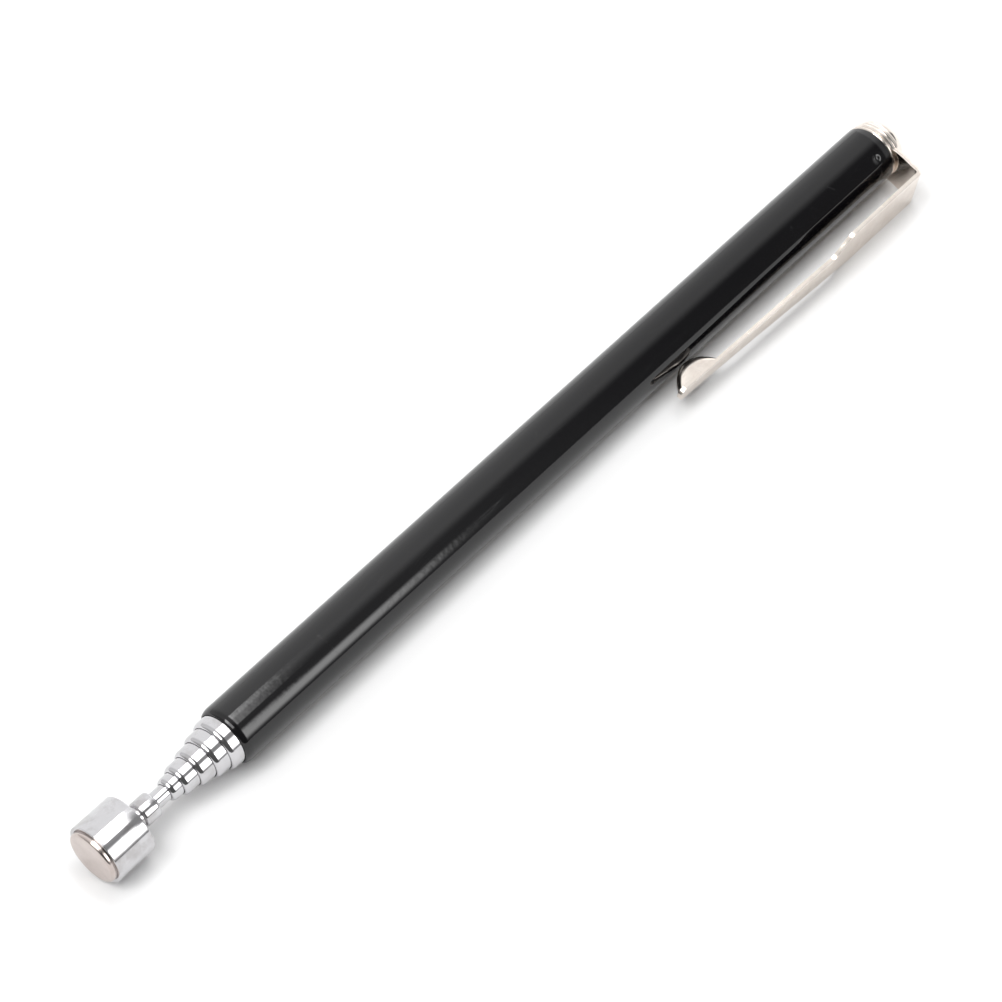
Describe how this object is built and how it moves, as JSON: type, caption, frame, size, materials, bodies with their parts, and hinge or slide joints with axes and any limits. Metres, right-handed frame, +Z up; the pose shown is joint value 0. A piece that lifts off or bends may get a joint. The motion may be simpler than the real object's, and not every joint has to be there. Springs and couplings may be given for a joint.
{
  "type": "telescoping magnetic pickup tool",
  "caption": "Pen-size pickup tool: black handle tube with a spring pocket clip and domed end, nested chromed stages that pull out of its mouth, and a magnet in a cup at the tip.",
  "frame": {"origin": "centre of the magnet's working face, on the tool's axis", "axes": "+X along the tool's axis from the magnet to the end button, +Z up with the tool lying on its side, the pocket clip on the -Y side"},
  "size_m": [0.1296, 0.0108, 0.0072],
  "materials": {
    "black_enamel": "glossy black stoved enamel on steel tube, a few dust specks and hairline scratches",
    "stage_chrome": "bright chrome plate on drawn brass tube",
    "rod_chrome": "bright chrome plate on steel rod",
    "head_chrome": "turned and polished chrome plate",
    "magnet_nickel": "satin nickel plate on a sintered magnet",
    "clip_nickel": "bright, faintly warm nickel plate on stamped spring steel",
    "button_nickel": "polished warm nickel plate",
    "plug_nickel": "turned nickel plate",
    "spring_bronze": "phosphor bronze strip, greased"
  },
  "bodies": {
    "handle": {"handle_tube": "black_enamel", "end_plug": "plug_nickel", "end_button": "button_nickel", "clip_collar": "clip_nickel"},
    "clip": {"clip_arm": "clip_nickel"},
    "spring_1": {"friction_spring_1": "spring_bronze"},
    "tube_1": {"stage_1": "stage_chrome"},
    "spring_2": {"friction_spring_2": "spring_bronze"},
    "tube_2": {"stage_2": "stage_chrome"},
    "spring_3": {"friction_spring_3": "spring_bronze"},
    "tube_3": {"stage_3": "stage_chrome"},
    "spring_4": {"friction_spring_4": "spring_bronze"},
    "tube_4": {"stage_4": "stage_chrome"},
    "spring_5": {"friction_spring_5": "spring_bronze"},
    "tube_5": {"stage_5": "stage_chrome"},
    "spring_6": {"friction_spring_6": "spring_bronze"},
    "head": {"stage_6": "rod_chrome", "neck_collar": "head_chrome", "magnet_cup": "head_chrome", "magnet": "magnet_nickel"}
  },
  "joints": [
    {"name": "stage_1_slide", "type": "slide", "parent": "handle", "child": "spring_1", "axis": [-1, 0, 0], "range_m": [0, 0.0827]},
    {"name": "stage_1_twist", "type": "hinge", "parent": "spring_1", "child": "tube_1", "pos_m": [0, 0, 0], "axis": [1, 0, 0], "continuous": true},
    {"name": "stage_2_slide", "type": "slide", "parent": "tube_1", "child": "spring_2", "axis": [-1, 0, 0], "range_m": [0, 0.0843]},
    {"name": "stage_2_twist", "type": "hinge", "parent": "spring_2", "child": "tube_2", "pos_m": [0, 0, 0], "axis": [1, 0, 0], "continuous": true},
    {"name": "stage_3_slide", "type": "slide", "parent": "tube_2", "child": "spring_3", "axis": [-1, 0, 0], "range_m": [0, 0.08605]},
    {"name": "stage_3_twist", "type": "hinge", "parent": "spring_3", "child": "tube_3", "pos_m": [0, 0, 0], "axis": [1, 0, 0], "continuous": true},
    {"name": "stage_4_slide", "type": "slide", "parent": "tube_3", "child": "spring_4", "axis": [-1, 0, 0], "range_m": [0, 0.0879]},
    {"name": "stage_4_twist", "type": "hinge", "parent": "spring_4", "child": "tube_4", "pos_m": [0, 0, 0], "axis": [1, 0, 0], "continuous": true},
    {"name": "stage_5_slide", "type": "slide", "parent": "tube_4", "child": "spring_5", "axis": [-1, 0, 0], "range_m": [0, 0.0898]},
    {"name": "stage_5_twist", "type": "hinge", "parent": "spring_5", "child": "tube_5", "pos_m": [0, 0, 0], "axis": [1, 0, 0], "continuous": true},
    {"name": "stage_6_slide", "type": "slide", "parent": "tube_5", "child": "spring_6", "axis": [-1, 0, 0], "range_m": [0, 0.0912]},
    {"name": "stage_6_twist", "type": "hinge", "parent": "spring_6", "child": "head", "pos_m": [0, 0, 0], "axis": [1, 0, 0], "continuous": true},
    {"name": "clip_flex", "type": "hinge", "parent": "handle", "child": "clip", "pos_m": [0.1256, -0.00658, -0.00094], "axis": [0, -0.1409, 0.99], "range_deg": [0, 5], "stiffness_Nm_per_rad": 0.45, "springref_deg": -1.15}
  ]
}
